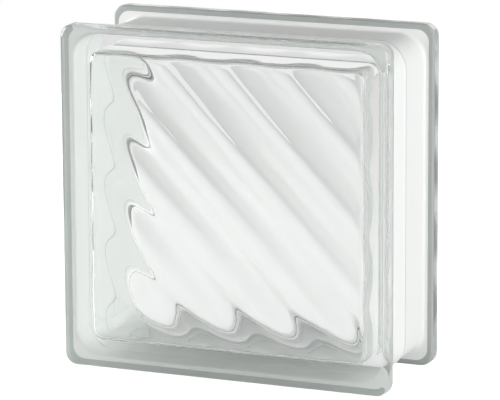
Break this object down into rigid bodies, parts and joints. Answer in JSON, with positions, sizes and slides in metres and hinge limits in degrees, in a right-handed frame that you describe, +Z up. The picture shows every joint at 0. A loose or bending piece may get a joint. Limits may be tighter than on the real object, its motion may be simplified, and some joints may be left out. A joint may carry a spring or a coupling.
{
  "type": "glass block",
  "caption": "Square hollow glass building block with clear smooth faces, diagonal waves pressed inside both panes and a recessed mortar channel round its edge.",
  "frame": {"origin": "centre of the underside, on the level that the lower edges of both rims stand on", "axes": "+X along the width, to the right as seen from the front, +Y from the front pane to the rear pane, +Z upwards"},
  "size_m": [0.19, 0.08, 0.19],
  "materials": {
    "glass": "clear pressed soda-lime glass, fire-polished faces, faint grey-green tint in the thick rims, thin white bonding coat on the glass of the mortar channel"
  },
  "bodies": {
    "root": {"glass_block": "glass"}
  },
  "joints": []
}
